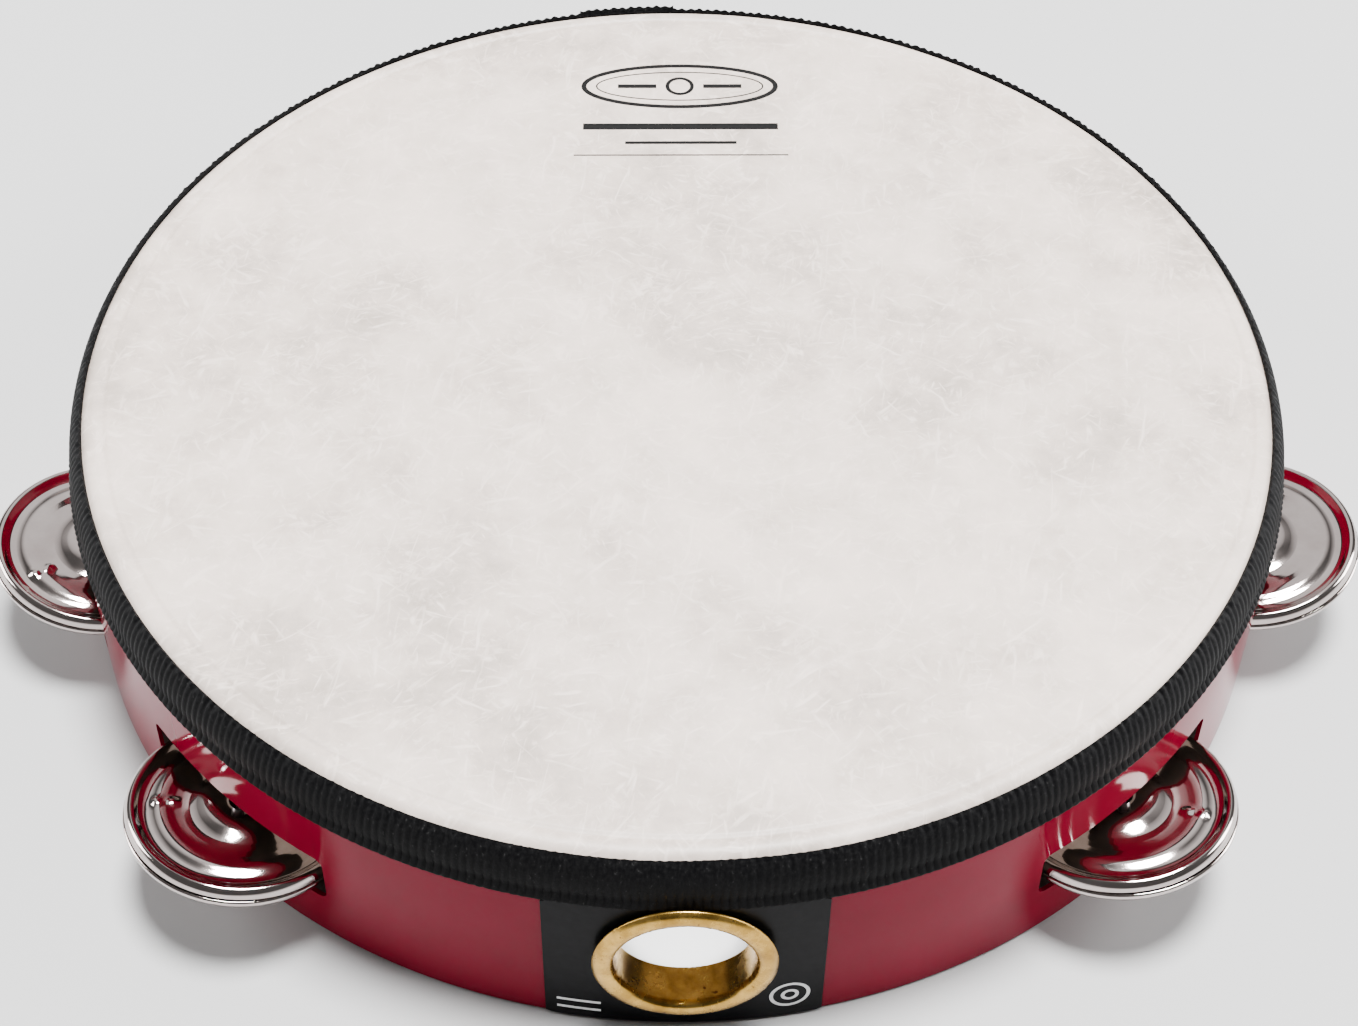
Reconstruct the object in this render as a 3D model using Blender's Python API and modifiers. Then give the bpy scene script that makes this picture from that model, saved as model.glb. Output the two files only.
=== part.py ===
"""A headed tambourine: a slotted hoop with a glued film head, eight pairs of jingles and a thumb hole.

The origin is the centre of the playing face, +Z points out of the head, and the thumb hole faces -Y.
Lengths are in metres. Station azimuths are measured from the thumb hole towards +X.
"""

from math import cos, pi, radians, sin

import bmesh
import bpy

MM = 0.001

# Fits
GAP = 0.3 * MM  # left between pieces that touch
CUTTER_EXTRA = 3.0 * MM  # how far a cutter runs past the wall it cuts

# Hoop: a ten inch shell
HOOP_OUTER_R = 126.1 * MM
HOOP_INNER_R = 121.0 * MM
HOOP_DEPTH = 48.5 * MM
HOOP_CHAMFER = 0.5 * MM
REBATE_R = 125.0 * MM  # outer radius of the stepped-in rim that carries the head's skirt
REBATE_DEPTH = 10.2 * MM  # from the playing face down to the step
ROUND_CENTRE_R = 120.9 * MM  # the rim is rounded over as a quarter ellipse about this radius
ROUND_DROP = 6.8 * MM
HOOP_STEPS = 64

# Head, tape and laminate
FILM = 0.5 * MM
TAPE = 0.8 * MM
SKIRT_BOTTOM_Z = -9.6 * MM
TAPE_BOTTOM_Z = -9.8 * MM
TAPE_START = radians(30.5)  # angle down the rounded rim at which the tape begins
LAMINATE = 0.6 * MM
LABEL = 0.2 * MM
LABEL_HALF_ANGLE = radians(11.9)
LABEL_STEPS = 10

# Jingle stations
STATION_COUNT = 8
STATION_PITCH = radians(40.0)  # nine places round the hoop, of which the thumb hole takes one
GRIP_ROOM = radians(3.6)  # how far the first and last stations move away from the thumb hole
SLOT_WIDTH = 49.0 * MM
SLOT_TOP_Z = -24.6 * MM
SLOT_BOTTOM_Z = -37.0 * MM
SLOT_CORNER_R = 2.0 * MM

# Jingles: stamped discs, two to a pin, rims facing each other
JINGLE_R = 22.7 * MM
JINGLE_SHEET = 0.7 * MM
JINGLE_HOLE_R = 2.6 * MM
JINGLE_BOSS_R = 4.5 * MM
JINGLE_BOSS_FOOT_R = 9.0 * MM
JINGLE_BOSS_H = 3.3 * MM
JINGLE_PAN_H = 1.6 * MM
JINGLE_BEAD_R = 21.4 * MM
JINGLE_BEAD_H = 2.3 * MM
JINGLE_STEPS = 20
LEAN = radians(10.5)  # how far the outer edge of a resting pair stands up
LEAN_SPREAD = radians(1.2)  # how much the lean differs from pair to pair
ROLL_SPREAD = radians(1.4)  # how much a pair dips to one side
DROPPED_PAIRS = (3, 6)  # these pairs lean the other way, with the outer edge down, out of sight of the front
LOWER_SHIFT = 0.4 * MM  # the lower jingle lies this far out from the upper one

# Pins
PIN_R = 1.2 * MM
PIN_HEAD_R = 2.3 * MM
PIN_HEAD_H = 1.0 * MM
PIN_TOP_Z = -13.0 * MM
PIN_POINT_H = 1.5 * MM
PIN_STEPS = 12

# Thumb hole and grommet
THUMB_Z = -26.9 * MM
BARREL_INNER_R = 13.2 * MM
BARREL_WALL = 0.8 * MM
FLANGE_R = 17.3 * MM
FLANGE_H = 1.8 * MM
FLANGE_EDGE_H = 0.8 * MM
FLANGE_CREST_R = 15.3 * MM
GROMMET_STEPS = 32

# Derived places
TOP_OF_HOOP_Z = -(FILM + GAP)
BOTTOM_Z = TOP_OF_HOOP_Z - HOOP_DEPTH
ROUND_CENTRE_Z = TOP_OF_HOOP_Z - ROUND_DROP
LAMINATE_INNER_R = HOOP_OUTER_R + GAP
SHELL_OUTER_R = LAMINATE_INNER_R + LAMINATE
LABEL_INNER_R = SHELL_OUTER_R + GAP
LABEL_OUTER_R = LABEL_INNER_R + LABEL
STATION_R = (HOOP_INNER_R + SHELL_OUTER_R) / 2
BARREL_OUTER_R = BARREL_INNER_R + BARREL_WALL
THUMB_HOLE_R = BARREL_OUTER_R + GAP
FLANGE_BACK_Y = -(LABEL_OUTER_R + GAP)
BARREL_END_Y = -(HOOP_INNER_R - GAP)
PAIR_HALF_H = JINGLE_BOSS_H + GAP / 2
PAIR_CENTRE_Z = (
    SLOT_BOTTOM_Z + GAP + PAIR_HALF_H + JINGLE_BOSS_R * sin(LEAN + LEAN_SPREAD + ROLL_SPREAD)
)

COLOURS = {
    "bare_fibre": ((0.34, 0.22, 0.13, 1.0), 0.75, 0.0),
    "red_laminate": ((0.42, 0.012, 0.035, 1.0), 0.15, 0.0),
    "fibre_film": ((0.83, 0.81, 0.78, 1.0), 0.55, 0.0),
    "black_ribbon": ((0.012, 0.013, 0.014, 1.0), 0.7, 0.0),
    "black_vinyl": ((0.01, 0.01, 0.012, 1.0), 0.3, 0.0),
    "brass": ((0.62, 0.41, 0.15, 1.0), 0.3, 1.0),
    "nickel_plate": ((0.62, 0.6, 0.58, 1.0), 0.12, 1.0),
    "pin_steel": ((0.45, 0.45, 0.46, 1.0), 0.35, 1.0),
}


def clear_scene():
    for obj in list(bpy.data.objects):
        bpy.data.objects.remove(obj, do_unlink=True)


def new_collection(name):
    made = bpy.data.collections.new(name)
    bpy.context.scene.collection.children.link(made)
    return made


def material(name):
    """The Principled material of this name, made on first use."""
    if name in bpy.data.materials:
        return bpy.data.materials[name]
    colour, roughness, metallic = COLOURS[name]
    made = bpy.data.materials.new(name)
    made.use_nodes = True
    shader = made.node_tree.nodes["Principled BSDF"]
    shader.inputs["Base Color"].default_value = colour
    shader.inputs["Roughness"].default_value = roughness
    shader.inputs["Metallic"].default_value = metallic
    return made


def add_object(name, mesh, collection):
    obj = bpy.data.objects.new(name, mesh)
    collection.objects.link(obj)
    return obj


def profile_mesh(name, profile, closed):
    """The (radius, height) outline as a chain of edges in the XZ plane."""
    mesh = bpy.data.meshes.new(name)
    count = len(profile)
    edges = [(i, (i + 1) % count) for i in range(count if closed else count - 1)]
    mesh.from_pydata([(r, 0.0, z) for r, z in profile], edges, [])
    return mesh


def spin(obj, steps):
    """Turns the object's profile about its own Z axis."""
    screw = obj.modifiers.new("turn", "SCREW")
    screw.steps = steps
    screw.render_steps = steps
    screw.use_merge_vertices = True
    screw.merge_threshold = 0.00001
    screw.use_smooth_shade = True


def turned(name, profile, steps, collection, closed=True):
    """A turned solid. The profile runs down its outer side and, where closed, back up its inner side."""
    obj = add_object(name, profile_mesh(name, profile, closed), collection)
    spin(obj, steps)
    return obj


def finish_piece(obj, material_name):
    obj.data.materials.append(material(material_name))


def make_cutter(obj):
    obj.hide_render = True
    obj.display_type = "WIRE"
    return obj


def cut(obj, cutter):
    boolean = obj.modifiers.new("cut_" + cutter.name, "BOOLEAN")
    boolean.operation = "DIFFERENCE"
    boolean.solver = "EXACT"
    boolean.object = cutter


def rim_arc(offset, start, steps):
    """Points down the rounded rim, a given distance outside the hoop's own surface."""
    across = REBATE_R - ROUND_CENTRE_R + offset
    drop = ROUND_DROP + offset
    points = []
    for i in range(steps + 1):
        angle = start + (pi / 2 - start) * i / steps
        points.append((ROUND_CENTRE_R + across * sin(angle), ROUND_CENTRE_Z + drop * cos(angle)))
    return points


def station_azimuth(number):
    """Azimuth of a station, counted from the thumb hole towards +X."""
    shift = {1: GRIP_ROOM, STATION_COUNT: -GRIP_ROOM}.get(number, 0.0)
    return number * STATION_PITCH + shift


def around(radius, azimuth, z):
    """A point at this radius, azimuth and height."""
    return (radius * sin(azimuth), -radius * cos(azimuth), z)


def build_hoop(collection):
    outline = rim_arc(0.0, 0.0, 4)
    outline += [
        (REBATE_R, -REBATE_DEPTH),
        (HOOP_OUTER_R, -REBATE_DEPTH),
        (HOOP_OUTER_R, BOTTOM_Z + HOOP_CHAMFER),
        (HOOP_OUTER_R - HOOP_CHAMFER, BOTTOM_Z),
        (HOOP_INNER_R + HOOP_CHAMFER, BOTTOM_Z),
        (HOOP_INNER_R, BOTTOM_Z + HOOP_CHAMFER),
        (HOOP_INNER_R, TOP_OF_HOOP_Z - HOOP_CHAMFER),
    ]
    hoop = turned("shell_hoop", outline, HOOP_STEPS, collection)
    finish_piece(hoop, "bare_fibre")
    return hoop


def build_laminate(collection):
    top = -REBATE_DEPTH
    bottom = BOTTOM_Z + GAP
    outline = [
        (LAMINATE_INNER_R, top),
        (SHELL_OUTER_R, top),
        (SHELL_OUTER_R, bottom),
        (LAMINATE_INNER_R, bottom),
    ]
    laminate = turned("outer_laminate", outline, HOOP_STEPS, collection)
    finish_piece(laminate, "red_laminate")
    return laminate


def build_head(collection):
    outside = [(0.0, 0.0)] + rim_arc(GAP + FILM, 0.0, 4) + [(REBATE_R + GAP + FILM, SKIRT_BOTTOM_Z)]
    inside = [(0.0, -FILM)] + rim_arc(GAP, 0.0, 4) + [(REBATE_R + GAP, SKIRT_BOTTOM_Z)]
    head = turned("drumhead", outside + inside[::-1], HOOP_STEPS, collection, closed=False)
    finish_piece(head, "fibre_film")


def build_tape(collection):
    inner = FILM + 2 * GAP
    outside = rim_arc(inner + TAPE, TAPE_START, 3)
    inside = rim_arc(inner, TAPE_START, 3)
    outside.append((REBATE_R + inner + TAPE, TAPE_BOTTOM_Z))
    inside.append((REBATE_R + inner, TAPE_BOTTOM_Z))
    tape = turned("binding_tape", outside + inside[::-1], HOOP_STEPS, collection)
    finish_piece(tape, "black_ribbon")


def build_label(collection):
    """A curved sticker: a strip of the laminate's outer face, thickened outwards."""
    top = -REBATE_DEPTH
    bottom = BOTTOM_Z + 2 * GAP
    mesh = bpy.data.meshes.new("label")
    sheet = bmesh.new()
    columns = []
    for i in range(LABEL_STEPS + 1):
        azimuth = LABEL_HALF_ANGLE * (2 * i / LABEL_STEPS - 1)
        ends = [sheet.verts.new(around(LABEL_INNER_R, azimuth, z)) for z in (bottom, top)]
        columns.append(ends)
    for left, right in zip(columns, columns[1:]):
        sheet.faces.new((left[0], right[0], right[1], left[1]))
    sheet.to_mesh(mesh)
    sheet.free()
    label = add_object("label", mesh, collection)
    thicken = label.modifiers.new("thickness", "SOLIDIFY")
    thicken.thickness = LABEL
    thicken.offset = 1.0
    finish_piece(label, "black_vinyl")
    return label


def build_slot_cutter(number, collection):
    """A block with rounded corners that opens one slot straight through the wall."""
    azimuth = station_azimuth(number)
    wall = SHELL_OUTER_R - HOOP_INNER_R
    size = (SLOT_WIDTH, wall + 4 * CUTTER_EXTRA, SLOT_TOP_Z - SLOT_BOTTOM_Z)
    mesh = bpy.data.meshes.new(f"slot_cutter_{number}")
    block = bmesh.new()
    bmesh.ops.create_cube(block, size=1.0)
    bmesh.ops.scale(block, vec=size, verts=block.verts)
    along = [e for e in block.edges if abs((e.verts[0].co - e.verts[1].co).normalized().y) > 0.5]
    bmesh.ops.bevel(block, geom=along, offset=SLOT_CORNER_R, segments=3, profile=0.5, affect="EDGES")
    block.to_mesh(mesh)
    block.free()
    cutter = add_object(mesh.name, mesh, collection)
    cutter.location = around(STATION_R, azimuth, (SLOT_TOP_Z + SLOT_BOTTOM_Z) / 2)
    cutter.rotation_euler.z = azimuth
    return make_cutter(cutter)


def build_bore_cutter(number, collection):
    """The bore of one pin: a clearance hole with a counterbore for the head."""
    seat_z = BOTTOM_Z + PIN_HEAD_H + 2 * GAP
    outline = [
        (0.0, PIN_TOP_Z + GAP),
        (PIN_R + GAP, PIN_TOP_Z + GAP),
        (PIN_R + GAP, seat_z),
        (PIN_HEAD_R + GAP, seat_z),
        (PIN_HEAD_R + GAP, BOTTOM_Z - CUTTER_EXTRA),
        (0.0, BOTTOM_Z - CUTTER_EXTRA),
    ]
    name = f"bore_cutter_{number}"
    cutter = turned(name, outline, PIN_STEPS, collection, closed=False)
    cutter.location = around(STATION_R, station_azimuth(number), 0.0)
    return make_cutter(cutter)


def build_thumb_cutter(collection):
    mesh = bpy.data.meshes.new("thumb_cutter")
    plug = bmesh.new()
    bmesh.ops.create_cone(
        plug,
        cap_ends=True,
        segments=GROMMET_STEPS,
        radius1=THUMB_HOLE_R,
        radius2=THUMB_HOLE_R,
        depth=20 * MM,
    )
    plug.to_mesh(mesh)
    plug.free()
    cutter = add_object("thumb_cutter", mesh, collection)
    cutter.location = (0.0, -STATION_R, THUMB_Z)
    cutter.rotation_euler.x = pi / 2
    return make_cutter(cutter)


def build_pin(number, collection):
    """A nail whose head sits just inside the bottom edge and whose shank crosses the slot."""
    head_z = BOTTOM_Z + GAP
    outline = [
        (0.0, PIN_TOP_Z),
        (PIN_R / 2, PIN_TOP_Z),
        (PIN_R, PIN_TOP_Z - PIN_POINT_H),
        (PIN_R, head_z + PIN_HEAD_H),
        (PIN_HEAD_R, head_z + PIN_HEAD_H),
        (PIN_HEAD_R, head_z),
        (0.0, head_z),
    ]
    pin = turned(f"jingle_pin_{number}", outline, PIN_STEPS, collection, closed=False)
    pin.location = around(STATION_R, station_azimuth(number), 0.0)
    finish_piece(pin, "pin_steel")


def jingle_outline():
    """Section of the upper jingle, above the plane in which the two rims meet."""
    top = [
        (JINGLE_HOLE_R, JINGLE_BOSS_H),
        (JINGLE_BOSS_R, JINGLE_BOSS_H),
        (JINGLE_BOSS_FOOT_R, JINGLE_PAN_H),
        (JINGLE_BEAD_R, JINGLE_BEAD_H),
        (JINGLE_R, 0.0),
    ]
    under = [(max(r - JINGLE_SHEET / 3, JINGLE_HOLE_R), z - JINGLE_SHEET) for r, z in top[:4]]
    return top + [(JINGLE_R - JINGLE_SHEET, 0.0)] + under[::-1]


def build_pair(number, collection, mesh):
    """The two jingles of a station, resting on the slot's floor with their outer edges up or dropped."""
    azimuth = station_azimuth(number)
    lean = LEAN + LEAN_SPREAD * sin(2.3 * number)
    if number in DROPPED_PAIRS:
        lean = -lean
    roll = ROLL_SPREAD * cos(1.7 * number)
    for side, turn, lift, shift in (("upper", 0.0, GAP / 2, 0.0), ("lower", pi, -GAP / 2, LOWER_SHIFT)):
        jingle = add_object(f"jingle_{number}_{side}", mesh, collection)
        jingle.location = around(STATION_R + shift, azimuth, PAIR_CENTRE_Z + lift + shift * sin(lean))
        jingle.rotation_euler = (turn - lean, roll, azimuth)
        spin(jingle, JINGLE_STEPS)


def build_grommet(collection):
    """The flanged barrel that lines the thumb hole, turned about the hole's axis."""
    tail = BARREL_END_Y - FLANGE_BACK_Y
    outline = [
        (BARREL_INNER_R, FLANGE_H / 2),
        (BARREL_INNER_R + BARREL_WALL, FLANGE_H - 0.2 * MM),
        (FLANGE_CREST_R, FLANGE_H),
        (FLANGE_R - 0.5 * MM, FLANGE_H - 0.6 * MM),
        (FLANGE_R, FLANGE_EDGE_H),
        (FLANGE_R - 0.4 * MM, 0.0),
        (BARREL_OUTER_R, 0.0),
        (BARREL_OUTER_R, -tail),
        (BARREL_INNER_R, -tail),
    ]
    barrel = turned("grommet_barrel", outline, GROMMET_STEPS, collection)
    barrel.location = (0.0, FLANGE_BACK_Y, THUMB_Z)
    barrel.rotation_euler.x = pi / 2
    finish_piece(barrel, "brass")


def build_tambourine():
    clear_scene()
    parts = new_collection("tambourine")
    cutters = new_collection("cutters")
    hoop = build_hoop(parts)
    laminate = build_laminate(parts)
    build_head(parts)
    build_tape(parts)
    label = build_label(parts)
    thumb = build_thumb_cutter(cutters)
    for piece in (hoop, laminate, label):
        cut(piece, thumb)
    build_grommet(parts)
    disc = profile_mesh("jingle_disc", jingle_outline(), True)
    disc.materials.append(material("nickel_plate"))
    for number in range(1, STATION_COUNT + 1):
        slot = build_slot_cutter(number, cutters)
        cut(hoop, slot)
        cut(laminate, slot)
        cut(hoop, build_bore_cutter(number, cutters))
        build_pin(number, parts)
        build_pair(number, parts, disc)


build_tambourine()
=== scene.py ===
"""Looks for the tambourine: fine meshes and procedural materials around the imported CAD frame.

Everything is in metres in the CAD's own frame: the playing face is at z = 0, +Z points out of
the head, and the thumb hole faces -Y. Azimuths are measured from the thumb hole towards +X.
"""

from math import atan2, ceil, cos, pi, radians, sin

import bmesh
import bpy
import numpy as np
from mathutils import Matrix, Vector


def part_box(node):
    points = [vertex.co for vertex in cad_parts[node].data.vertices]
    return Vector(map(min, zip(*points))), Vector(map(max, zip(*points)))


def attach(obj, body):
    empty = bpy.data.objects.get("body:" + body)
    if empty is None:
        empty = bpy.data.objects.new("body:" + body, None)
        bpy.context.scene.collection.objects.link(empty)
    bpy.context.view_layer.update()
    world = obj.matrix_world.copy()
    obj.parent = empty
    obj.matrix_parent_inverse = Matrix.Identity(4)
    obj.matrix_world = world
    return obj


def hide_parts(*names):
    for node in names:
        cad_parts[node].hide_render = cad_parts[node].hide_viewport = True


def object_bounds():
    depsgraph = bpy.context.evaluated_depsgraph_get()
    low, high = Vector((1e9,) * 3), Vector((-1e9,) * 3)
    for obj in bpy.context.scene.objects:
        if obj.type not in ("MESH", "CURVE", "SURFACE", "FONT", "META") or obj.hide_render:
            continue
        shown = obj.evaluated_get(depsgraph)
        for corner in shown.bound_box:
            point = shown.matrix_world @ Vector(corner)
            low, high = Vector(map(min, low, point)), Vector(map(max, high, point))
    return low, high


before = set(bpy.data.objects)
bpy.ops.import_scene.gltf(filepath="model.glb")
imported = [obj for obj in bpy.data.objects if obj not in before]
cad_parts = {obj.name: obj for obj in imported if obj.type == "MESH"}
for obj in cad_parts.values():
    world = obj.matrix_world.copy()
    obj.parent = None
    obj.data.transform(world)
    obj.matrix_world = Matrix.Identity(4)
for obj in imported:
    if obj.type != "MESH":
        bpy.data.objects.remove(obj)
CAD_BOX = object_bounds()

MM = 0.001

# Hoop, laminate and slots, as in the CAD
HOOP_R = 126.1 * MM
HOOP_INNER_R = 121.0 * MM
SHELL_R = 127.0 * MM
REBATE_R = 125.0 * MM
REBATE_Z = -10.2 * MM
TOP_Z = -0.8 * MM
ROUND_CENTRE_R = 120.9 * MM
ROUND_DROP = 6.8 * MM
STATION_R = (HOOP_INNER_R + SHELL_R) / 2
SLOT_WIDTH = 49.0 * MM
SLOT_TOP_Z = -24.6 * MM
SLOT_BOTTOM_Z = -37.0 * MM
SLOT_CORNER_R = 2.0 * MM
SLOT_CUT_DEPTH = 18.0 * MM
HOOP_EDGE_R = 0.5 * MM
WRAP_EDGE_R = 0.25 * MM
WRAP_LIFT = 0.3 * MM  # the laminate stops this far above the hoop's bottom edge
GLUE = 0.02 * MM  # gap between stuck layers
PIN_SEAT_R = 2.6 * MM
PIN_SEAT_LENGTH = 2.6 * MM
SHELL_COLUMNS = 288

# Head and tape
FILM = 0.5 * MM
FILM_OUT = 0.8 * MM  # film's outer face, measured out from the hoop
FILM_TOP_Z = -0.03 * MM
SKIRT_Z = -9.5 * MM
HEAD_COLUMNS = 256
CREASE_R = 119.3 * MM
CREASE_HALF = 1.2 * MM
CREASE_DEPTH = 0.28 * MM
CREASE_STEPS = 12
TAPE_IN = 1.1 * MM  # tape's inner face, measured out from the hoop
TAPE_THICK = 0.8 * MM
TAPE_START = radians(30.5)
TAPE_BOTTOM_Z = -9.8 * MM
RIB_COUNT = 500
RIB_STEPS = 6
RIB_HEIGHT = 0.3 * MM
EDGE_LOOP = 0.13 * MM  # height of the woven loops along the ribbon's edges
LIP_R = 127.1 * MM  # the ribbon's lower edge laps over the laminate
LIP_Z = -10.7 * MM
LAP_CENTRE = radians(185.0)
LAP_HALF = radians(5.2)
LAP_LIFT = 0.85 * TAPE_THICK

# Thumb hole
THUMB_Z = -26.9 * MM
BARREL_R = 13.2 * MM
BARREL_WALL = 0.8 * MM
THUMB_CUT_R = BARREL_R + BARREL_WALL + 0.2 * MM
THUMB_CUT_LENGTH = 24.0 * MM
FLANGE_R = 17.3 * MM
FLANGE_BACK_Y = -127.8 * MM
FLANGE_H = 1.8 * MM
BARREL_END_Y = -120.7 * MM
LABEL_HALF = radians(11.9)
LABEL_R = 127.3 * MM
LABEL_THICK = 0.2 * MM
LABEL_LIFT = 0.6 * MM
LABEL_CORNER_R = 0.5 * MM
LABEL_COLUMNS = 48
LABEL_ROWS = 20

# Jingles and pins
JINGLE_SHEET = 0.6 * MM
JINGLE_HOLE_R = 2.6 * MM
JINGLE_COLUMNS = 144
DIMPLE_HEIGHT = 0.75 * MM
# Turn of the discs whose hammered spots the photo shows, in degrees
SPINS = {"jingle_1_upper": 26, "jingle_7_upper": 30, "jingle_8_upper": -44}
PIN_R = 1.2 * MM

# Studio
KEY_STRENGTH = 16
FILL_LEFT = 28
FILL_RIGHT = 44
HORIZON = 1.5
SKY = 0.14
WINDOW = 1.2
KEY_ANGLE = radians(20)
KEY_DIRECTION = (-0.1, -0.13, -1.0)
FILL_SIZE = (0.6, 1.0)
WINDOW_DIRECTION = (0.0, 0.72, 0.69)
LAMP_POWER = 0.5
LAMP_CONE = radians(44)
FLOOR_HALF = 6.0

# Camera
CAMERA_LENS = 66.69
CAMERA_PITCH = 0.8358
CAMERA_YAW = -0.0216
CAMERA_ROLL = 0.0122
CAMERA_SPOT = Vector((-0.0607, -3.0453, 3.0048)) * 123.6 * MM - Vector((0, 0, 0.4 * MM))


# ---------------------------------------------------------------- meshes


def add_object(name, data):
    obj = bpy.data.objects.new(name, data)
    bpy.context.scene.collection.objects.link(obj)
    return obj


def add_mesh(name, verts, faces, material):
    mesh = bpy.data.meshes.new(name)
    mesh.from_pydata(verts, [], faces)
    obj = add_object(name, mesh)
    mesh.materials.append(material)
    return obj


def tidy_mesh(obj, sharp=35.0):
    """Merges doubled points, turns the faces outwards and shades smooth up to the sharp edges."""
    work = bmesh.new()
    work.from_mesh(obj.data)
    bmesh.ops.remove_doubles(work, verts=work.verts, dist=1e-7)
    bmesh.ops.recalc_face_normals(work, faces=work.faces)
    work.to_mesh(obj.data)
    work.free()
    obj.data.shade_smooth()
    obj.data.set_sharp_from_angle(angle=radians(sharp))
    return obj


def around(radius, azimuth, z):
    return (radius * sin(azimuth), -radius * cos(azimuth), z)


def grid_faces(columns, rows, wrap_columns, wrap_rows):
    faces = []
    for i in range(columns if wrap_columns else columns - 1):
        after = (i + 1) % columns
        for j in range(rows if wrap_rows else rows - 1):
            above = (j + 1) % rows
            faces.append((i * rows + j, after * rows + j, after * rows + above, i * rows + above))
    return faces


def lathe(name, profile, columns, material, closed=True, sharp=35.0):
    """A solid turned about Z from (radius, height) points."""
    verts = []
    for i in range(columns):
        angle = 2 * pi * i / columns
        verts += [(r * cos(angle), r * sin(angle), z) for r, z in profile]
    faces = grid_faces(columns, len(profile), True, closed)
    return tidy_mesh(add_mesh(name, verts, faces, material), sharp)


def fillet(points, radius, steps=5, closed=True):
    """The outline with each corner rounded by up to this radius."""
    out = []
    count = len(points)
    for i, point in enumerate(points):
        if not closed and i in (0, count - 1):
            out.append(point)
            continue
        corner = Vector(point)
        before = Vector(points[i - 1]) - corner
        after = Vector(points[(i + 1) % count]) - corner
        reach = min(radius, before.length * 0.45, after.length * 0.45)
        start = corner + before.normalized() * reach
        end = corner + after.normalized() * reach
        for k in range(steps + 1):
            t = k / steps
            spot = start * (1 - t) ** 2 + corner * (2 * t * (1 - t)) + end * t**2
            out.append((spot.x, spot.y))
    return out


def rim_point(offset, angle):
    """A point on the rounded rim, this far out from the hoop, at this angle down from the top."""
    across = REBATE_R - ROUND_CENTRE_R + offset
    drop = ROUND_DROP + offset
    return (ROUND_CENTRE_R + across * sin(angle), TOP_Z - ROUND_DROP + drop * cos(angle))


def rim_arc(offset, start, steps):
    return [rim_point(offset, start + (pi / 2 - start) * i / steps) for i in range(steps + 1)]


def apply_modifiers(obj):
    graph = bpy.context.evaluated_depsgraph_get()
    mesh = bpy.data.meshes.new_from_object(obj.evaluated_get(graph))
    obj.modifiers.clear()
    obj.data = mesh


def slot_block(azimuth):
    """A block with rounded corners, the shape of one slot, through the wall."""
    size = (SLOT_WIDTH, SLOT_CUT_DEPTH, SLOT_TOP_Z - SLOT_BOTTOM_Z)
    mesh = bpy.data.meshes.new("slot_block")
    block = bmesh.new()
    bmesh.ops.create_cube(block, size=1.0)
    bmesh.ops.scale(block, vec=size, verts=block.verts)
    along = [e for e in block.edges if abs((e.verts[0].co - e.verts[1].co).normalized().y) > 0.5]
    bmesh.ops.bevel(
        block, geom=along, offset=SLOT_CORNER_R, segments=6, profile=0.5, affect="EDGES"
    )
    block.to_mesh(mesh)
    block.free()
    obj = add_object("slot_block", mesh)
    obj.location = around(STATION_R, azimuth, (SLOT_TOP_Z + SLOT_BOTTOM_Z) / 2)
    obj.rotation_euler.z = azimuth
    return obj


def rod_block(radius, length, spot, lying):
    """A round cutter, upright or lying along Y."""
    mesh = bpy.data.meshes.new("rod_block")
    rod = bmesh.new()
    bmesh.ops.create_cone(
        rod, cap_ends=True, segments=96, radius1=radius, radius2=radius, depth=length
    )
    rod.to_mesh(mesh)
    rod.free()
    obj = add_object("rod_block", mesh)
    obj.location = spot
    obj.rotation_euler.x = pi / 2 if lying else 0.0
    return obj


def thumb_block():
    return rod_block(THUMB_CUT_R, THUMB_CUT_LENGTH, (0, -STATION_R, THUMB_Z), True)


def carve(obj, cutters):
    for cutter in cutters:
        boolean = obj.modifiers.new("cut", "BOOLEAN")
        boolean.operation = "DIFFERENCE"
        boolean.solver = "EXACT"
        boolean.object = cutter
    bpy.context.view_layer.update()
    apply_modifiers(obj)


def round_normals(obj):
    """Gives the faces that follow the hoop's curve the normals of a true cylinder."""
    mesh = obj.data
    normals = []
    for polygon in mesh.polygons:
        for index in polygon.loop_indices:
            spot = mesh.vertices[mesh.loops[index].vertex_index].co
            radial = Vector((spot.x, spot.y, 0.0)).normalized()
            along = polygon.normal.dot(radial)
            on_wall = abs(along) > 0.995
            normals.append(radial * (1 if along > 0 else -1) if on_wall else polygon.normal)
    mesh.shade_smooth()
    mesh.normals_split_custom_set([tuple(n) for n in normals])


def thicken(obj, thickness, offset=1.0):
    solid = obj.modifiers.new("thickness", "SOLIDIFY")
    solid.thickness = thickness
    solid.offset = offset
    apply_modifiers(obj)


# ---------------------------------------------------------------- materials


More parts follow.
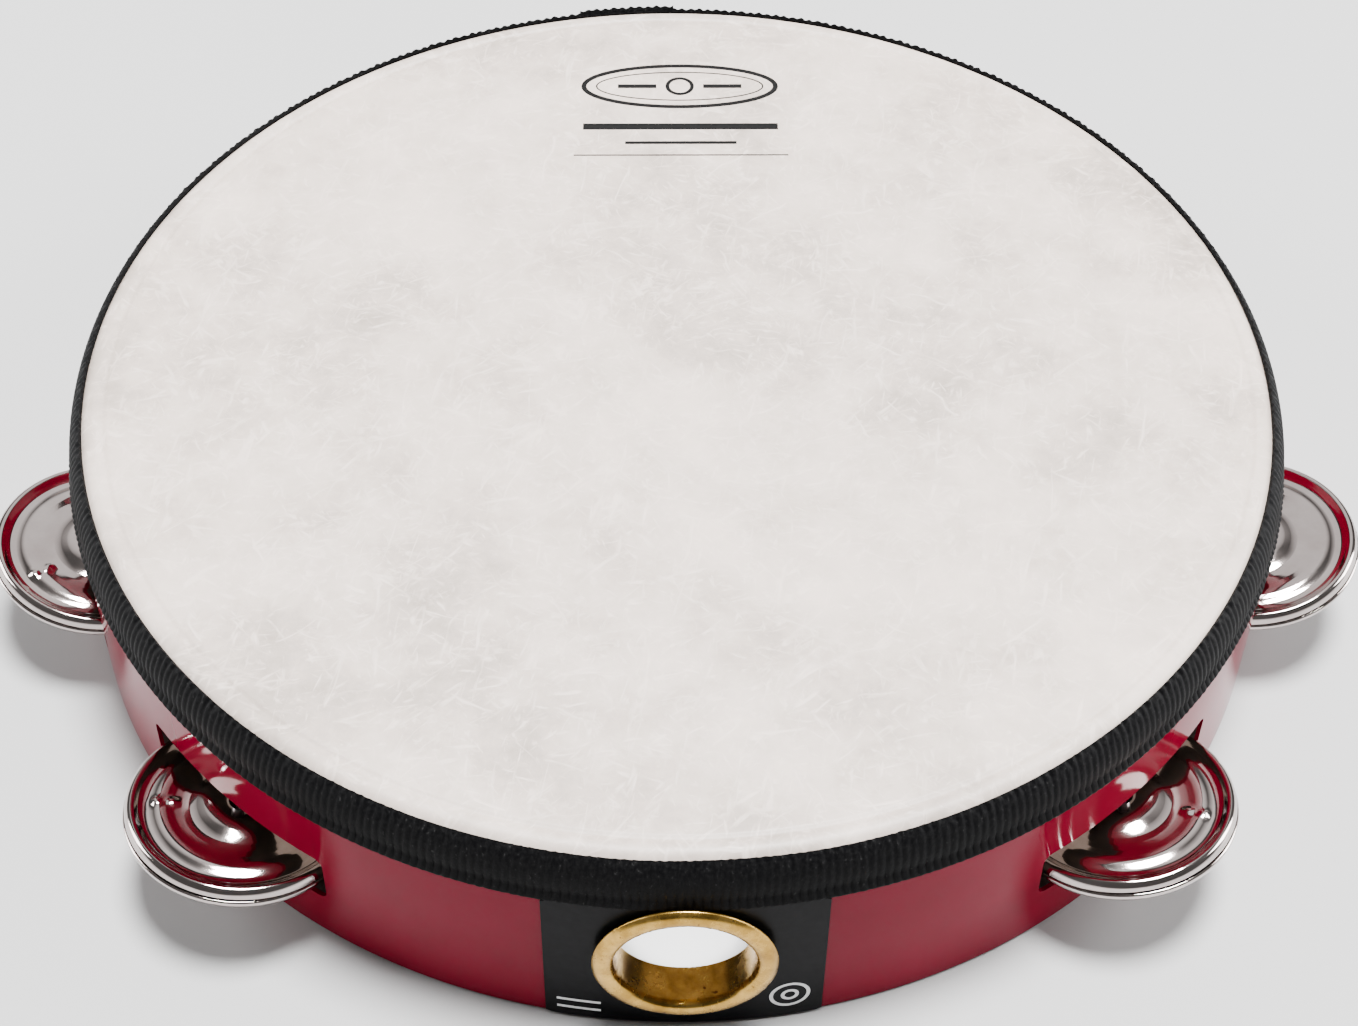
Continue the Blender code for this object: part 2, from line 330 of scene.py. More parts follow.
class Look:
    """A Principled material and the nodes that feed it, in the object's own coordinates."""

    def __init__(self, name, roughness, metallic=0.0, **sockets):
        self.material = bpy.data.materials.new(name)
        self.material.use_nodes = True
        self.tree = self.material.node_tree
        self.shader = self.tree.nodes["Principled BSDF"]
        self.shader.inputs["Roughness"].default_value = roughness
        self.shader.inputs["Metallic"].default_value = metallic
        for socket, value in sockets.items():
            self.shader.inputs[socket.replace("_", " ")].default_value = value
        self.coords = self.node("ShaderNodeTexCoord").outputs["Object"]

    def node(self, kind, **settings):
        made = self.tree.nodes.new(kind)
        for key, value in settings.items():
            setattr(made, key, value)
        return made

    def link(self, output, socket):
        self.tree.links.new(output, socket)

    def feed(self, output, name):
        self.link(output, self.shader.inputs[name])

    def mapped(self, scale=(1, 1, 1), turn=0.0, source=None):
        """Coordinates turned about Z and then stretched."""
        turned = self.node("ShaderNodeMapping")
        turned.inputs["Rotation"].default_value = (0, 0, turn)
        self.link(source or self.coords, turned.inputs["Vector"])
        stretched = self.node("ShaderNodeMapping")
        stretched.inputs["Scale"].default_value = scale
        self.link(turned.outputs["Vector"], stretched.inputs["Vector"])
        return stretched.outputs["Vector"]

    def noise(self, scale, detail=3.0, rough=0.5, source=None, distortion=0.0):
        made = self.node("ShaderNodeTexNoise")
        made.inputs["Scale"].default_value = scale
        made.inputs["Detail"].default_value = detail
        made.inputs["Roughness"].default_value = rough
        made.inputs["Distortion"].default_value = distortion
        self.link(source or self.coords, made.inputs["Vector"])
        return made.outputs["Fac"]

    def ramp(self, value, stops):
        made = self.node("ShaderNodeValToRGB")
        elements = made.color_ramp.elements
        while len(elements) < len(stops):
            elements.new(0.5)
        for element, (place, colour) in zip(elements, stops):
            element.position = place
            element.color = (*colour, 1.0) if len(colour) == 3 else colour
        self.link(value, made.inputs["Fac"])
        return made.outputs["Color"]

    def grey(self, value, low, high, from_low=0.0, from_high=1.0):
        made = self.node("ShaderNodeMapRange")
        limits = {"From Min": from_low, "From Max": from_high, "To Min": low, "To Max": high}
        for key, number in limits.items():
            made.inputs[key].default_value = number
        self.link(value, made.inputs["Value"])
        return made.outputs["Result"]

    def maths(self, operation, first, second):
        made = self.node("ShaderNodeMath", operation=operation)
        for socket, value in zip(made.inputs, (first, second)):
            if isinstance(value, (int, float)):
                socket.default_value = value
            else:
                self.link(value, socket)
        return made.outputs[0]

    def mix(self, factor, first, second):
        made = self.node("ShaderNodeMix", data_type="RGBA", blend_type="MIX")
        for name, value in (("Factor", factor), ("A", first), ("B", second)):
            sockets = [s for s in made.inputs if s.name == name and s.enabled]
            if isinstance(value, (int, float)):
                sockets[0].default_value = value
            elif isinstance(value, tuple):
                sockets[0].default_value = (*value, 1.0)
            else:
                self.link(value, sockets[0])
        return [s for s in made.outputs if s.enabled][0]

    def let_light_through(self, colour, share):
        """Mixes in light that passes through the sheet."""
        glow = self.node("ShaderNodeBsdfTranslucent")
        glow.inputs["Color"].default_value = (*colour, 1.0)
        both = self.node("ShaderNodeMixShader")
        both.inputs[0].default_value = share
        self.link(self.shader.outputs[0], both.inputs[1])
        self.link(glow.outputs[0], both.inputs[2])
        self.link(both.outputs[0], self.tree.nodes["Material Output"].inputs["Surface"])

    def bump(self, height, distance, strength=1.0, after=None):
        made = self.node("ShaderNodeBump")
        made.inputs["Strength"].default_value = strength
        made.inputs["Distance"].default_value = distance
        self.link(height, made.inputs["Height"])
        if after is not None:
            self.link(after, made.inputs["Normal"])
        return made.outputs["Normal"]


def red_laminate():
    """Glossy wine-red plastic wrap, faintly clouded and scuffed round the hoop."""
    look = Look("red_laminate", 0.1, Specular_IOR_Level=0.05)
    cloud = look.noise(60.0, 4.0, 0.6)
    stops = [(0.3, (0.142, 0.0004, 0.0115)), (0.7, (0.166, 0.0006, 0.015))]
    look.feed(look.ramp(cloud, stops), "Base Color")
    scuff = look.noise(900.0, 2.0, 0.6, look.mapped((1, 1, 0.15)))
    look.feed(look.grey(scuff, 0.05, 0.12), "Roughness")
    look.feed(look.bump(look.noise(260.0, 2.0, 0.5), 0.00002, 0.4), "Normal")
    return look.material


def bare_fibre():
    """Dark pressed fibre, matt and grainy."""
    look = Look("bare_fibre", 0.78)
    grain = look.noise(140.0, 5.0, 0.65, look.mapped((1, 1, 3.5)))
    stops = [
        (0.25, (0.018, 0.012, 0.009)),
        (0.55, (0.036, 0.024, 0.017)),
        (0.8, (0.07, 0.046, 0.031)),
    ]
    look.feed(look.ramp(grain, stops), "Base Color")
    look.feed(look.bump(look.noise(1500.0, 3.0, 0.7), 0.00008, 0.7), "Normal")
    return look.material


def film():
    """Off-white film with soft grey clouds, fine curled fibres and a few dark flecks."""
    look = Look("fibre_film", 0.45)
    broad = look.noise(11.0, 2.0, 0.5, look.mapped((1.0, 1.3, 1.0), 0.4))
    cloud = look.noise(42.0, 8.0, 0.7)
    blot = look.maths("ADD", look.maths("MULTIPLY", broad, 0.4), look.maths("MULTIPLY", cloud, 0.6))
    stops = [
        (0.36, (0.335, 0.287, 0.25)),
        (0.44, (0.463, 0.395, 0.347)),
        (0.51, (0.575, 0.491, 0.435)),
        (0.6, (0.663, 0.567, 0.503)),
    ]
    base = look.ramp(blot, stops)
    lines = None
    for number, turn in enumerate((0.2, 0.85, 1.4, 2.0, 2.6)):
        drift = look.mapped((380.0, 75.0 + 12 * number, 1.0), turn)
        thread = look.noise(1.0, 2.0, 0.6, drift, distortion=1.6)
        layer = look.grey(thread, 0.0, 1.0, 0.6, 0.74)
        lines = layer if lines is None else look.maths("MAXIMUM", lines, layer)
    light = look.mix(look.maths("MULTIPLY", lines, 0.7), base, (0.76, 0.664, 0.6))
    fleck = look.grey(look.noise(700.0, 2.0, 0.6), 0.0, 0.2, 0.62, 0.8)
    look.feed(look.mix(fleck, light, (0.32, 0.256, 0.216)), "Base Color")
    look.feed(look.grey(cloud, 0.36, 0.52), "Roughness")
    relief = look.bump(look.noise(1100.0, 3.0, 0.6), 0.00003, 0.6)
    look.feed(look.bump(lines, 0.00003, 0.6, relief), "Normal")
    look.let_light_through((0.92, 0.86, 0.8), 0.25)
    return look.material


def ribbon():
    """Black woven ribbon: dark threads, with pale specks painted into the colour as highlights where
    the weave catches light.
    """
    look = Look("black_ribbon", 0.6, Specular_IOR_Level=0.05)
    weft_and_glints = look.noise(1500.0, 2.0, 0.6, look.mapped((1, 1, 0.6)))
    # The palest stop paints highlight specks into the colour, where the weave catches light.
    stops = [
        (0.4, (0.0015, 0.0015, 0.0018)),
        (0.66, (0.0045, 0.0045, 0.0047)),
        (0.86, (0.035, 0.035, 0.035)),
    ]
    look.feed(look.ramp(weft_and_glints, stops), "Base Color")
    look.feed(look.grey(weft_and_glints, 0.4, 0.75), "Roughness")
    look.feed(look.bump(weft_and_glints, 0.0001, 0.9), "Normal")
    return look.material


def vinyl():
    """Black sticker, semi-gloss, with a little dust."""
    look = Look("black_vinyl", 0.3, Specular_IOR_Level=0.04)
    dust = look.noise(420.0, 3.0, 0.6)
    stops = [(0.35, (0.002, 0.002, 0.0025)), (0.75, (0.0045, 0.0045, 0.0055))]
    look.feed(look.ramp(dust, stops), "Base Color")
    look.feed(look.grey(dust, 0.25, 0.36), "Roughness")
    look.feed(look.bump(look.noise(800.0), 0.00001, 0.4), "Normal")
    return look.material


def brass():
    """Stained satin brass with small dark pits."""
    look = Look("brass", 0.3, 1.0)
    stain = look.noise(150.0, 5.0, 0.65)
    stops = [(0.3, (0.23, 0.12, 0.02)), (0.5, (0.44, 0.26, 0.056)), (0.72, (0.68, 0.42, 0.11))]
    base = look.ramp(stain, stops)
    pits = look.grey(look.noise(700.0, 2.0, 0.5), 0.0, 1.0, 0.68, 0.76)
    look.feed(look.mix(pits, base, (0.12, 0.05, 0.01)), "Base Color")
    look.feed(look.grey(stain, 0.18, 0.36), "Roughness")
    look.feed(look.bump(pits, 0.00004, -0.6), "Normal")
    return look.material


def nickel():
    """Polished plate over stamped steel, slightly rippled and hazy."""
    look = Look("nickel_plate", 0.08, 1.0)
    haze = look.noise(95.0, 4.0, 0.6)
    stops = [(0.3, (0.43, 0.37, 0.355)), (0.7, (0.53, 0.47, 0.45))]
    look.feed(look.ramp(haze, stops), "Base Color")
    look.feed(look.grey(haze, 0.04, 0.13), "Roughness")
    ripple = look.bump(look.noise(150.0, 1.0, 0.4), 0.00012, 0.45)
    look.feed(look.bump(look.noise(1800.0, 2.0, 0.5), 0.000004, 0.4, ripple), "Normal")
    return look.material


def steel():
    """Drawn steel wire, streaked along the pin."""
    look = Look("pin_steel", 0.32, 1.0)
    draw = look.noise(1400.0, 2.0, 0.5, look.mapped((1, 1, 0.05)))
    look.feed(look.ramp(draw, [(0.3, (0.36, 0.36, 0.37)), (0.7, (0.5, 0.5, 0.51))]), "Base Color")
    look.feed(look.bump(draw, 0.00001, 0.5), "Normal")
    return look.material


def ink(name, dark, light):
    """Matt printing ink, slightly worn."""
    look = Look(name, 0.8, Specular_IOR_Level=0.1)
    wear = look.noise(1300.0, 3.0, 0.6)
    look.feed(look.ramp(wear, [(0.3, dark), (0.75, light)]), "Base Color")
    return look.material


# ---------------------------------------------------------------- pieces


def place(piece, body, slot, *nodes):
    """Puts a piece on its body, in place of the CAD nodes named; the slot is not used."""
    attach(piece, body)
    if nodes:
        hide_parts(*nodes)


def pin_nodes():
    return sorted(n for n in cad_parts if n.startswith("jingle_pin_"))


def station_azimuths():
    """Azimuth of each pin, read from the CAD."""
    found = []
    for node in pin_nodes():
        low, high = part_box(node)
        middle = (low + high) / 2
        found.append(atan2(middle.x, -middle.y))
    return found


def build_shell(looks):
    """The hoop and its red wrap, cut by the slots and the thumb hole."""
    bottom = CAD_BOX[0][2]
    cutters = [slot_block(azimuth) for azimuth in station_azimuths()]
    cutters.append(thumb_block())
    outline = fillet(
        [
            (HOOP_INNER_R, TOP_Z),
            *rim_arc(0.0, 0.05, 10)[:-1],
            (REBATE_R, REBATE_Z),
            (HOOP_R, REBATE_Z),
            (HOOP_R, bottom),
            (HOOP_INNER_R, bottom),
        ],
        HOOP_EDGE_R,
        3,
    )
    hoop = lathe("hoop", outline, SHELL_COLUMNS, looks["bare_fibre"])
    seats = [
        rod_block(PIN_SEAT_R, PIN_SEAT_LENGTH, around(STATION_R, azimuth, bottom), False)
        for azimuth in station_azimuths()
    ]
    carve(hoop, cutters + seats)
    round_normals(hoop)
    place(hoop, "shell", "bare_fibre", "shell_hoop")
    wrap_low = bottom + WRAP_LIFT
    wrap = fillet(
        [
            (HOOP_R + GLUE, REBATE_Z),
            (SHELL_R, REBATE_Z),
            (SHELL_R, wrap_low),
            (HOOP_R + GLUE, wrap_low),
        ],
        WRAP_EDGE_R,
        3,
    )
    laminate = lathe("laminate", wrap, SHELL_COLUMNS, looks["red_laminate"])
    carve(laminate, cutters)
    round_normals(laminate)
    place(laminate, "shell", "red_laminate", "outer_laminate")
    for cutter in cutters + seats:
        bpy.data.objects.remove(cutter, do_unlink=True)


def build_head(looks):
    """The film: a flat disc, a shallow crease at the rim, the rounded collar and the skirt."""
    flat = [(radius * MM, FILM_TOP_Z) for radius in (0.0, 40.0, 80.0, 105.0, 115.0)]
    crease = []
    for i in range(CREASE_STEPS + 1):
        t = i / CREASE_STEPS
        r = CREASE_R + CREASE_HALF * (2 * t - 1)
        crease.append((r, FILM_TOP_Z - CREASE_DEPTH * sin(pi * t) ** 2))
    collar = rim_arc(FILM_OUT, 0.04, 18)
    collar = [(r, min(z + FILM_TOP_Z, FILM_TOP_Z)) for r, z in collar]
    outside = flat + crease + collar + [(REBATE_R + FILM_OUT, SKIRT_Z)]
    inside = [(r, z - FILM) for r, z in flat + crease] + rim_arc(FILM_OUT - FILM, 0.04, 12)
    inside.append((REBATE_R + FILM_OUT - FILM, SKIRT_Z))
    outline = outside + inside[::-1]
    head = lathe("head_film", outline, HEAD_COLUMNS, looks["fibre_film"], closed=False)
    place(head, "shell", "fibre_film", "drumhead")


def tape_section(lift):
    """Rows of the ribbon from its top edge down: (radius, height, rib share, edge loop share)."""
    rows = []
    for i, (r, z) in enumerate(rim_arc(TAPE_IN + TAPE_THICK + lift, TAPE_START, 10)):
        rows.append((r, z, 0.3 if i == 0 else 1.0, 1.0 if i < 2 else 0.0))
    r = REBATE_R + TAPE_IN + TAPE_THICK + lift
    rows.append((r, TAPE_BOTTOM_Z + 0.9 * MM, 1.0, 0.0))
    rows.append((LIP_R + 0.5 * MM + lift, LIP_Z + 0.5 * MM, 0.8, 0.0))
    rows.append((LIP_R + 0.45 * MM + lift, LIP_Z, 0.3, 0.5))
    return rows


def tape_back(lift):
    """The ribbon's inner face from its lower edge up."""
    return [
        (LIP_R + lift, LIP_Z),
        (LIP_R + lift, REBATE_Z + 0.12 * MM),
        (REBATE_R + TAPE_IN + lift, TAPE_BOTTOM_Z + 0.3 * MM),
        rim_point(TAPE_IN + lift, pi / 2),
        rim_point(TAPE_IN + lift, pi / 3),
        rim_point(TAPE_IN + lift, TAPE_START),
    ]


def tape_strip(name, start, end, lift, looks):
    """Ribbed ribbon from one azimuth to another. A full turn closes on itself."""
    whole = end - start > 2 * pi - 0.001
    ribs = RIB_COUNT * (end - start) / (2 * pi)
    columns = int(ceil(ribs)) * RIB_STEPS + (0 if whole else 1)
    rows = tape_section(lift)
    inner = tape_back(lift)
    verts = []
    span = columns if whole else columns - 1
    for i in range(columns):
        azimuth = start + (end - start) * i / span
        count = RIB_COUNT * azimuth / (2 * pi)
        wave = 0.05 * MM * sin(azimuth * 9 + 1.0) + 0.04 * MM * sin(azimuth * 23)
        loops = EDGE_LOOP * (sin(2 * pi * count * 0.75) + 0.4 * sin(2 * pi * count * 0.31))
        for j, (r, z, rib, bead) in enumerate(rows):
            swell = abs(sin(pi * (count + 0.015 * j))) ** 0.7
            grow = RIB_HEIGHT * rib * (swell - 0.6) + loops * bead
            edge = wave if j < 2 else 0.0
            verts.append(around(r + grow - edge * 0.6, azimuth, z + loops * bead + edge))
        verts += [around(r, azimuth, z) for r, z in inner]
    total = len(rows) + len(inner)
    faces = grid_faces(columns, total, whole, True)
    if not whole:
        faces.append(tuple(range(total)))
        faces.append(tuple((columns - 1) * total + k for k in range(total))[::-1])
    return tidy_mesh(add_mesh(name, verts, faces, looks["black_ribbon"]), 50.0)


def build_tape(looks):
    """The ribbon round the rim, and its end lapped over its start at the back."""
    tape = tape_strip("ribbon", 0.0, 2 * pi, 0.0, looks)
    place(tape, "shell", "black_ribbon", "binding_tape")
    lap = tape_strip("ribbon_lap", LAP_CENTRE - LAP_HALF, LAP_CENTRE + LAP_HALF, LAP_LIFT, looks)
    place(lap, "shell", "black_ribbon")


def label_grid(half, low, high, corner):
    """A rounded rectangle as a grid of (distance along the hoop, height) that follows its edges."""
    points = []
    for i in range(LABEL_COLUMNS + 1):
        x = half * (2 * i / LABEL_COLUMNS - 1)
        cut = max(0.0, abs(x) - (half - corner))
        trim = corner - max(0.0, corner**2 - cut**2) ** 0.5
        for j in range(LABEL_ROWS + 1):
            points.append((x, low + trim + (high - low - 2 * trim) * j / LABEL_ROWS))
    return points


def build_label(looks):
    """The sticker round the thumb hole, from under the ribbon to just above the hoop's edge."""
    low = CAD_BOX[0][2] + LABEL_LIFT
    points = label_grid(LABEL_HALF * LABEL_R, low, LIP_Z - 0.05 * MM, LABEL_CORNER_R)
    inner = SHELL_R + GLUE
    verts = [around(inner, x / LABEL_R, z) for x, z in points]
    faces = grid_faces(LABEL_COLUMNS + 1, LABEL_ROWS + 1, False, False)
    label = add_mesh("sticker", verts, faces, looks["black_vinyl"])
    thicken(label, LABEL_R + LABEL_THICK - inner)
    hole = thumb_block()
    carve(label, [hole])
    bpy.data.objects.remove(hole, do_unlink=True)
    round_normals(label)
    place(label, "shell", "black_vinyl", "label")


def stroke(points, width, closed):
    """A flat band of this width along a line of (x, y) points, as quads."""
    count = len(points)
    verts = []
    for i, point in enumerate(points):
        before = points[i - 1] if closed or i else point
        after = points[(i + 1) % count] if closed or i < count - 1 else point
        run = Vector(after) - Vector(before)
        side = Vector((-run.y, run.x)).normalized() * width / 2
        verts += [(point[0] + side.x, point[1] + side.y), (point[0] - side.x, point[1] - side.y)]
    faces = []
    for i in range(count if closed else count - 1):
        a, b = 2 * i, 2 * ((i + 1) % count)
        faces.append((a, a + 1, b + 1, b))
    return verts, faces


def line(x0, y0, x1, y1, parts=8):
    return [(x0 + (x1 - x0) * i / parts, y0 + (y1 - y0) * i / parts) for i in range(parts + 1)]


def oval(x, y, wide, high, parts=64):
    turns = [2 * pi * i / parts for i in range(parts)]
    return [(x + wide * cos(turn), y + high * sin(turn)) for turn in turns]


def bar(x, y, half, width):
    """A stroke along X, centred here."""
    return (line(x - half, y, x + half, y), width, False)


def printed(name, strokes, to_surface, material, thickness):
    """Strokes laid on a surface as a thin sheet of ink."""
    verts, faces = [], []
    for points, width, closed in strokes:
        more_verts, more_faces = stroke(points, width, closed)
        base = len(verts)
        verts += [to_surface(x, y) for x, y in more_verts]
        faces += [tuple(base + k for k in face) for face in more_faces]
    mark = add_mesh(name, verts, faces, material)
    thicken(mark, thickness, 0.0)
    return mark


def build_head_print(looks):
    """A plain oval badge with bars under it, where the head's print goes."""
    x, y = 1.6 * MM, 94.0 * MM
    strokes = [
        (oval(x, y, 22.5 * MM, 7.6 * MM), 1.2 * MM, True),
        (oval(x, y, 19.5 * MM, 5.2 * MM), 0.35 * MM, True),
        (oval(x, y, 2.9 * MM, 2.9 * MM, 32), 0.9 * MM, True),
        bar(x - 10.0 * MM, y, 4.5 * MM, 1.4 * MM),
        bar(x + 10.0 * MM, y, 4.5 * MM, 1.4 * MM),
        bar(x, 79.2 * MM, 22.5 * MM, 2.2 * MM),
        bar(x, 73.4 * MM, 12.8 * MM, 1.0 * MM),
        bar(x, 69.0 * MM, 24.5 * MM, 0.4 * MM),
    ]
    top = FILM_TOP_Z + 0.01 * MM
    ink_look = looks["head_ink"]
    badge = printed("head_print", strokes, lambda x, y: (x, y, top), ink_look, 0.03 * MM)
    place(badge, "shell", "black_vinyl")


def build_label_print(looks):
    """Two small plain marks in the sticker's lower corners."""
    left, right = -20.0 * MM, 20.0 * MM
    bars_z, ring_z = -44.6 * MM, -41.6 * MM
    strokes = [
        bar(left, bars_z + 1.3 * MM, 4.2 * MM, 0.7 * MM),
        bar(left, bars_z - 1.3 * MM, 4.2 * MM, 0.7 * MM),
        (oval(right, ring_z, 3.6 * MM, 3.6 * MM, 40), 0.7 * MM, True),
        (oval(right, ring_z, 1.4 * MM, 1.4 * MM, 28), 0.7 * MM, True),
    ]
    face = LABEL_R + LABEL_THICK + 0.01 * MM
    ink_look = looks["label_ink"]
    marks = printed(
        "label_print", strokes, lambda x, z: around(face, x / face, z), ink_look, 0.04 * MM
    )
    place(marks, "shell", "black_vinyl")


def build_grommet(looks):
    """The brass lining of the thumb hole, turned about the hole's axis with its flange outside."""
    tail = BARREL_END_Y - FLANGE_BACK_Y
    outline = [
        (BARREL_R, 0.2 * MM),
        (BARREL_R + 0.4 * MM, FLANGE_H * 0.75),
        (BARREL_R + 1.3 * MM, FLANGE_H),
        (BARREL_R + 2.5 * MM, FLANGE_H),
        (FLANGE_R - 0.6 * MM, FLANGE_H * 0.72),
        (FLANGE_R, 0.5 * MM),
        (FLANGE_R - 0.2 * MM, 0.0),
        (BARREL_R + BARREL_WALL, 0.0),
        (BARREL_R + BARREL_WALL, -tail),
        (BARREL_R, -tail),
    ]
    grommet = lathe("grommet", fillet(outline, 0.9 * MM, 6), 160, looks["brass"], sharp=60.0)
    grommet.location = (0.0, FLANGE_BACK_Y, THUMB_Z)
    grommet.rotation_euler.x = pi / 2
    place(grommet, "shell", "brass", "grommet_barrel")


def jingle_section():
    """The stamped disc's upper face in mm, from the hole to the rim, then back under it."""
    boss = [(2.6, 3.05), (3.4, 3.25), (5.0, 3.3), (6.8, 3.05), (8.3, 2.5), (9.6, 1.95), (11.0, 1.65)]
    ring = [(12.6, 1.6), (14.0, 1.75), (15.4, 1.95), (16.6, 1.8), (17.5, 1.35), (18.7, 1.08)]
    rim = [(19.7, 1.25), (20.5, 1.85), (21.2, 2.3), (21.9, 2.2), (22.4, 1.6), (22.7, 0.7)]
    top = boss + ring + rim + [(22.7, 0.05)]
    sheet, hole = JINGLE_SHEET / MM, JINGLE_HOLE_R / MM
    under = []
    for i, (r, z) in enumerate(top):
        run = (Vector(top[min(i + 1, len(top) - 1)]) - Vector(top[max(i - 1, 0)])).normalized()
        under.append((max(r - abs(run.y) * sheet, hole), max(z - abs(run.x) * sheet, 0.05)))
    return fillet([(r * MM, z * MM) for r, z in top + under[::-1]], 0.6 * MM, 1)


def dimple(verts, radius, reach, height):
    """Raises a small round spot in both faces of a disc, this far from its centre towards -Y."""
    away = np.hypot(verts[:, 0], verts[:, 1] + radius) / reach
    verts[:, 2] += height * np.where(away < 1, 0.5 + 0.5 * np.cos(pi * np.clip(away, 0, 1)), 0.0)


def jingle_mesh(looks):
    """One disc in its own frame: rim plane at z = 0, hammered spots towards -Y."""
    section = jingle_section()
    disc = lathe("jingle_disc", section, JINGLE_COLUMNS, looks["nickel_plate"], sharp=70.0)
    verts = np.array([v.co for v in disc.data.vertices])
    dimple(verts, 13.6 * MM, 1.5 * MM, DIMPLE_HEIGHT)
    dimple(verts, 16.8 * MM, 1.4 * MM, DIMPLE_HEIGHT)
    disc.data.vertices.foreach_set("co", verts.astype(np.float32).ravel())
    mesh = disc.data
    bpy.data.objects.remove(disc, do_unlink=True)
    return mesh


def disc_pose(node, up):
    """The middle of a CAD jingle's rim plane, and its axis, which points away from its partner."""
    points = np.array([v.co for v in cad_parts[node].data.vertices], float)
    points = np.unique(np.round(points, 6), axis=0)
    middle = points.mean(0)
    axis = np.linalg.svd(points - middle, full_matrices=False)[2][2]
    axis *= 1 if (axis[2] > 0) == up else -1
    rim = ((points - middle) @ axis).min()
    return Vector(middle + axis * rim), Vector(axis)


def build_jingles(looks):
    """A copy of the disc for each CAD jingle, in its place and leaning as it leans."""
    plain = jingle_mesh(looks)
    for number in range(1, len(pin_nodes()) + 1):
        for side in ("upper", "lower"):
            node = f"jingle_{number}_{side}"
            centre, axis = disc_pose(node, side == "upper")
            outward = Vector((centre.x, centre.y, 0.0)).normalized()
            across = axis.cross(outward).normalized()
            turn = Matrix((across, -across.cross(axis), axis)).transposed().to_4x4()
            degrees = SPINS.get(node, 47 * number + 15 * len(side))
            spin = Matrix.Rotation(radians(degrees), 4, "Z")
            mesh = plain.copy()
            mesh.transform(Matrix.Translation(centre) @ turn @ spin)
            disc = add_object(f"disc_{number}_{side}", mesh)
            place(disc, node, "nickel_plate", node)


def build_pins(looks):
    """A nail up through each slot: flat head in the bottom edge, drawn shank, blunt point."""
    for node in pin_nodes():
        low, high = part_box(node)
        middle = (low + high) / 2
        long = high.z - low.z
        head = (high.x - low.x) / 2
        outline = [
            (0.0, long),
            (0.3 * MM, long - 0.1 * MM),
            (PIN_R, long - 1.6 * MM),
            (PIN_R, 1.0 * MM),
            (head, 0.8 * MM),
            (head, 0.15 * MM),
            (head * 0.8, 0.0),
            (0.0, 0.0),
        ]
        name = node.replace("jingle_pin", "nail")
        pin = lathe(name, outline, 40, looks["pin_steel"], closed=False)
        pin.location = (middle.x, middle.y, low.z)
        place(pin, "shell", "pin_steel", node)


# ---------------------------------------------------------------- studio


def aim_at(obj, direction):
    obj.rotation_euler = direction.to_track_quat("-Z", "Y").to_euler()


def fill_light(name, spot, power):
    """A tall soft panel at this spot, turned towards the drum."""
    data = bpy.data.lights.new(name, "AREA")
    data.shape = "RECTANGLE"
    data.size, data.size_y = FILL_SIZE
    data.energy = power
    light = add_object(name, data)
    light.location = spot
    aim_at(light, Vector((0, 0, -0.02)) - Vector(spot))


def build_floor():
    """Pale paper, wide enough to reach the horizon at every angle."""
    z = CAD_BOX[0][2] - 0.05 * MM
    far = FLOOR_HALF
    paper = Look("studio_floor", 0.7)
    tone = paper.noise(3.0, 2.0, 0.5)
    stops = [(0.2, (0.35, 0.35, 0.35)), (0.8, (0.37, 0.37, 0.37))]
    paper.feed(paper.ramp(tone, stops), "Base Color")
    verts = [(-far, -far, z), (far, -far, z), (far, far, z), (-far, far, z)]
    floor = add_mesh("studio_floor", verts, [(0, 1, 2, 3)], paper.material)


def build_studio():
    build_floor()
    build_world()
    key = add_object("key", bpy.data.lights.new("key", "SUN"))
    key.data.energy = KEY_STRENGTH
    key.data.angle = KEY_ANGLE
    aim_at(key, Vector(KEY_DIRECTION))
    fill_light("fill_left", (-1.35, 0.25, 0.6), FILL_LEFT)
    fill_light("fill_right", (1.35, 0.2, 0.6), FILL_RIGHT)
    build_inside_lamp()


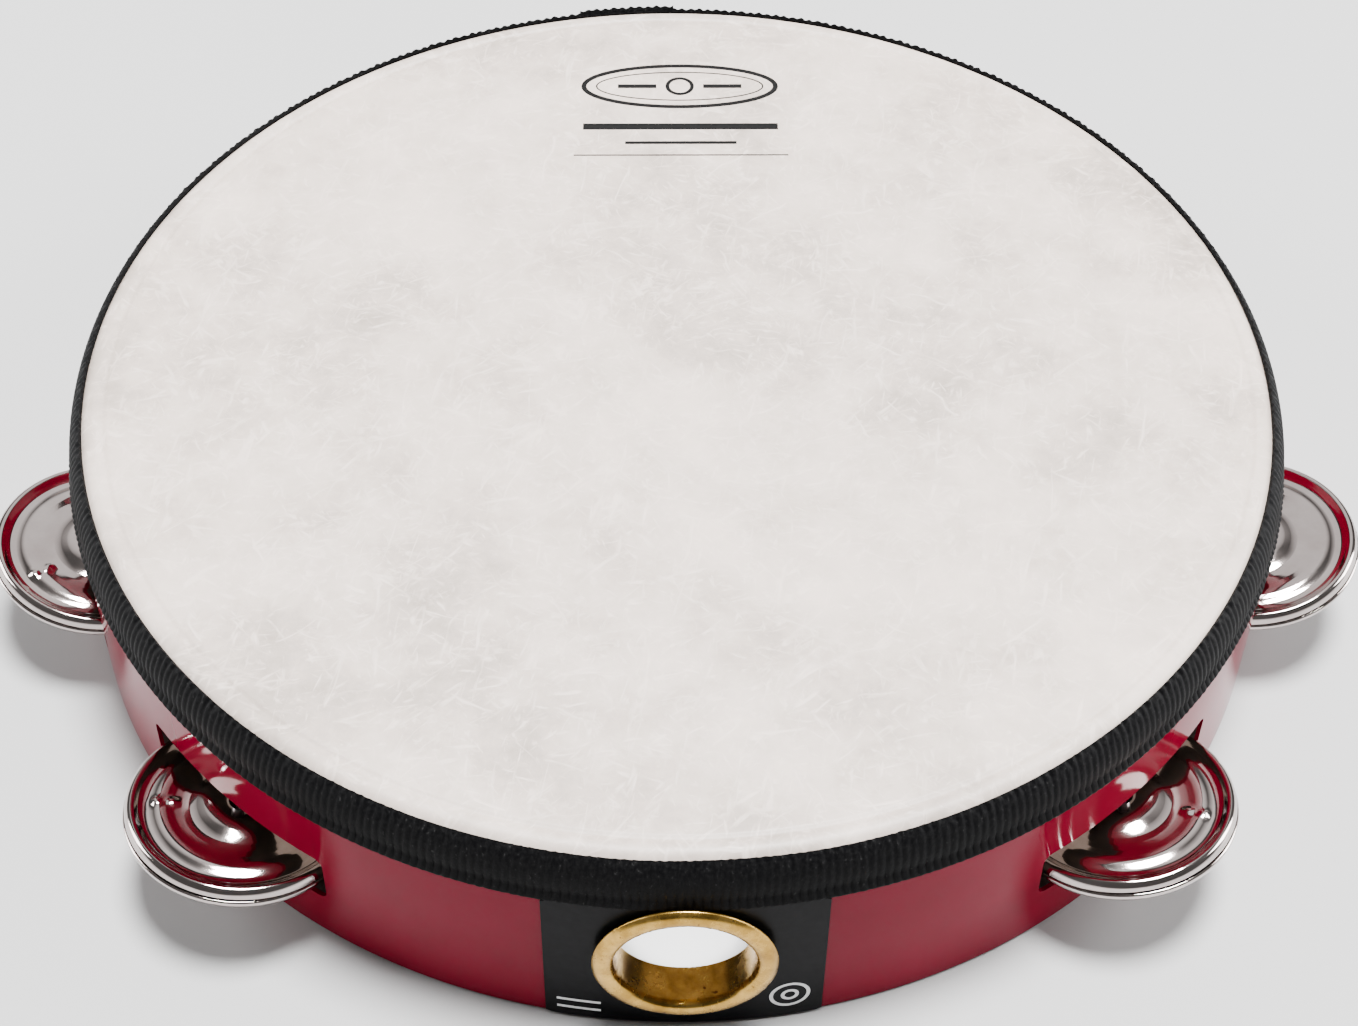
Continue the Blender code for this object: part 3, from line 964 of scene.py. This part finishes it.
def build_world():
    """A pale horizon under a dim sky, with a soft window at the back for the metal to mirror."""
    world = bpy.data.worlds.new("studio")
    world.use_nodes = True
    nodes, links = world.node_tree.nodes, world.node_tree.links
    looking = nodes.new("ShaderNodeTexCoord").outputs["Generated"]

    def fade(value, start, end, low, high):
        made = nodes.new("ShaderNodeMapRange")
        made.interpolation_type = "SMOOTHSTEP"
        limits = {"From Min": start, "From Max": end, "To Min": low, "To Max": high}
        for key, number in limits.items():
            made.inputs[key].default_value = number
        links.new(value, made.inputs["Value"])
        return made.outputs["Result"]

    split = nodes.new("ShaderNodeSeparateXYZ")
    links.new(looking, split.inputs["Vector"])
    facing = nodes.new("ShaderNodeVectorMath")
    facing.operation = "DOT_PRODUCT"
    facing.inputs[1].default_value = Vector(WINDOW_DIRECTION).normalized()
    links.new(looking, facing.inputs[0])
    total = nodes.new("ShaderNodeMath")
    total.operation = "ADD"
    links.new(fade(split.outputs["Z"], 0.02, 0.16, HORIZON, SKY), total.inputs[0])
    links.new(fade(facing.outputs["Value"], 0.8, 0.96, 0.0, WINDOW), total.inputs[1])
    background = nodes["Background"]
    background.inputs["Color"].default_value = (1.0, 1.0, 1.0, 1.0)
    links.new(total.outputs["Value"], background.inputs["Strength"])
    bpy.context.scene.world = world


def build_inside_lamp():
    """A small lamp under the head lights the floor that is seen through the thumb hole."""
    lamp = add_object("inside", bpy.data.lights.new("inside", "SPOT"))
    lamp.data.energy = LAMP_POWER
    lamp.data.spot_size = LAMP_CONE
    lamp.data.spot_blend = 0.35
    lamp.data.shadow_soft_size = 3 * MM
    lamp.location = (0.0, -112 * MM, -12 * MM)
    aim_at(lamp, Vector((0.0, -104 * MM, -49 * MM)) - lamp.location)
    lamp.visible_camera = False


def build_camera():
    """The camera looks down at the head from the thumb hole's side."""
    data = bpy.data.cameras.new("camera")
    data.sensor_width = 36.0
    data.lens = CAMERA_LENS
    data.clip_start = 0.01
    camera = add_object("camera", data)
    turn = Matrix.Rotation(CAMERA_YAW, 4, "Z") @ Matrix.Rotation(pi / 2 - CAMERA_PITCH, 4, "X")
    roll = Matrix.Rotation(CAMERA_ROLL, 4, "Z")
    camera.matrix_world = Matrix.Translation(CAMERA_SPOT) @ turn @ roll
    bpy.context.scene.camera = camera


def build_all():
    """Every look, the camera and light, and then the pieces."""
    looks = {
        "red_laminate": red_laminate(),
        "bare_fibre": bare_fibre(),
        "fibre_film": film(),
        "black_ribbon": ribbon(),
        "black_vinyl": vinyl(),
        "brass": brass(),
        "nickel_plate": nickel(),
        "pin_steel": steel(),
        "head_ink": ink("head_ink", (0.002, 0.002, 0.002), (0.006, 0.006, 0.006)),
        "label_ink": ink("label_ink", (0.6, 0.6, 0.6), (0.8, 0.8, 0.8)),
    }
    build_camera()
    build_studio()
    build_shell(looks)
    build_head(looks)
    build_tape(looks)
    build_label(looks)
    build_head_print(looks)
    build_label_print(looks)
    build_grommet(looks)
    build_jingles(looks)
    build_pins(looks)


build_all()
